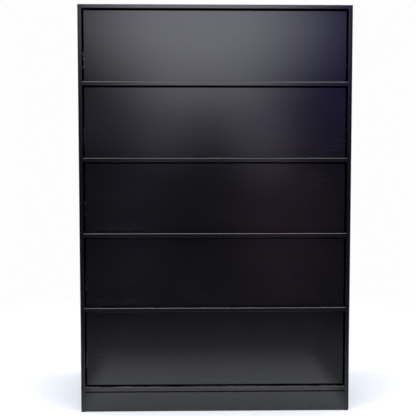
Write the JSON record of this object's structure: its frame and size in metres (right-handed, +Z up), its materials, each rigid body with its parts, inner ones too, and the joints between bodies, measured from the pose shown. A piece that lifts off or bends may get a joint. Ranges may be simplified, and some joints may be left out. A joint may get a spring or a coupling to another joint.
{
  "type": "tall chest of drawers",
  "caption": "Tall chest with plain handleless drawer fronts inset in a thin black lacquered frame, each opened by a light push.",
  "frame": {"origin": "on the floor, under the middle of the chest's outer box", "axes": "+Z up, -Y towards the person who opens the drawers, +X to the right when facing the drawers"},
  "size_m": [0.8, 0.45, 1.2],
  "materials": {
    "black_lacquer": "smooth black lacquer, satin to semi-gloss, over fibreboard",
    "birch_ply": "clear matt varnish on birch plywood",
    "back_board": "thin dark hardboard, matt",
    "zinc_steel": "zinc-plated rolled steel sheet",
    "grey_polymer": "moulded grey acetal"
  },
  "bodies": {
    "cabinet": {"left_side_panel": "black_lacquer", "right_side_panel": "black_lacquer", "top_panel": "black_lacquer", "base_panel": "black_lacquer", "plinth_board": "black_lacquer", "back_panel": "back_board", "front_rail_1": "black_lacquer", "front_rail_2": "black_lacquer", "front_rail_3": "black_lacquer", "front_rail_4": "black_lacquer", "drawer_1_left_cabinet_runner": "zinc_steel", "drawer_1_right_cabinet_runner": "zinc_steel", "drawer_2_left_cabinet_runner": "zinc_steel", "drawer_2_right_cabinet_runner": "zinc_steel", "drawer_3_left_cabinet_runner": "zinc_steel", "drawer_3_right_cabinet_runner": "zinc_steel", "drawer_4_left_cabinet_runner": "zinc_steel", "drawer_4_right_cabinet_runner": "zinc_steel", "drawer_5_left_cabinet_runner": "zinc_steel", "drawer_5_right_cabinet_runner": "zinc_steel"},
    "drawer_1": {"drawer_1_front": "black_lacquer", "drawer_1_back": "birch_ply", "drawer_1_bottom": "birch_ply", "drawer_1_left_side": "birch_ply", "drawer_1_right_side": "birch_ply", "drawer_1_left_drawer_runner": "zinc_steel", "drawer_1_right_drawer_runner": "zinc_steel"},
    "drawer_2": {"drawer_2_front": "black_lacquer", "drawer_2_back": "birch_ply", "drawer_2_bottom": "birch_ply", "drawer_2_left_side": "birch_ply", "drawer_2_right_side": "birch_ply", "drawer_2_left_drawer_runner": "zinc_steel", "drawer_2_right_drawer_runner": "zinc_steel"},
    "drawer_3": {"drawer_3_front": "black_lacquer", "drawer_3_back": "birch_ply", "drawer_3_bottom": "birch_ply", "drawer_3_left_side": "birch_ply", "drawer_3_right_side": "birch_ply", "drawer_3_left_drawer_runner": "zinc_steel", "drawer_3_right_drawer_runner": "zinc_steel"},
    "drawer_4": {"drawer_4_front": "black_lacquer", "drawer_4_back": "birch_ply", "drawer_4_bottom": "birch_ply", "drawer_4_left_side": "birch_ply", "drawer_4_right_side": "birch_ply", "drawer_4_left_drawer_runner": "zinc_steel", "drawer_4_right_drawer_runner": "zinc_steel"},
    "drawer_5": {"drawer_5_front": "black_lacquer", "drawer_5_back": "birch_ply", "drawer_5_bottom": "birch_ply", "drawer_5_left_side": "birch_ply", "drawer_5_right_side": "birch_ply", "drawer_5_left_drawer_runner": "zinc_steel", "drawer_5_right_drawer_runner": "zinc_steel"},
    "ejector_1": {"drawer_1_ejector": "grey_polymer"},
    "ejector_2": {"drawer_2_ejector": "grey_polymer"},
    "ejector_3": {"drawer_3_ejector": "grey_polymer"},
    "ejector_4": {"drawer_4_ejector": "grey_polymer"},
    "ejector_5": {"drawer_5_ejector": "grey_polymer"}
  },
  "joints": [
    {"name": "drawer_1_slide", "type": "slide", "parent": "cabinet", "child": "drawer_1", "axis": [0, -1, 0], "range_m": [-0.003, 0.27]},
    {"name": "drawer_2_slide", "type": "slide", "parent": "cabinet", "child": "drawer_2", "axis": [0, -1, 0], "range_m": [-0.003, 0.27]},
    {"name": "drawer_3_slide", "type": "slide", "parent": "cabinet", "child": "drawer_3", "axis": [0, -1, 0], "range_m": [-0.003, 0.27]},
    {"name": "drawer_4_slide", "type": "slide", "parent": "cabinet", "child": "drawer_4", "axis": [0, -1, 0], "range_m": [-0.003, 0.27]},
    {"name": "drawer_5_slide", "type": "slide", "parent": "cabinet", "child": "drawer_5", "axis": [0, -1, 0], "range_m": [-0.003, 0.27]},
    {"name": "ejector_1_slide", "type": "slide", "parent": "cabinet", "child": "ejector_1", "axis": [0, -1, 0], "range_m": [-0.0005, 0.03]},
    {"name": "ejector_2_slide", "type": "slide", "parent": "cabinet", "child": "ejector_2", "axis": [0, -1, 0], "range_m": [-0.0005, 0.03]},
    {"name": "ejector_3_slide", "type": "slide", "parent": "cabinet", "child": "ejector_3", "axis": [0, -1, 0], "range_m": [-0.0005, 0.03]},
    {"name": "ejector_4_slide", "type": "slide", "parent": "cabinet", "child": "ejector_4", "axis": [0, -1, 0], "range_m": [-0.0005, 0.03]},
    {"name": "ejector_5_slide", "type": "slide", "parent": "cabinet", "child": "ejector_5", "axis": [0, -1, 0], "range_m": [-0.0005, 0.03]}
  ],
  "couplings": [
    {"joint": "ejector_1_slide", "follows": "drawer_1_slide", "ratio": 0.1},
    {"joint": "ejector_2_slide", "follows": "drawer_2_slide", "ratio": 0.1},
    {"joint": "ejector_3_slide", "follows": "drawer_3_slide", "ratio": 0.1},
    {"joint": "ejector_4_slide", "follows": "drawer_4_slide", "ratio": 0.1},
    {"joint": "ejector_5_slide", "follows": "drawer_5_slide", "ratio": 0.1}
  ]
}
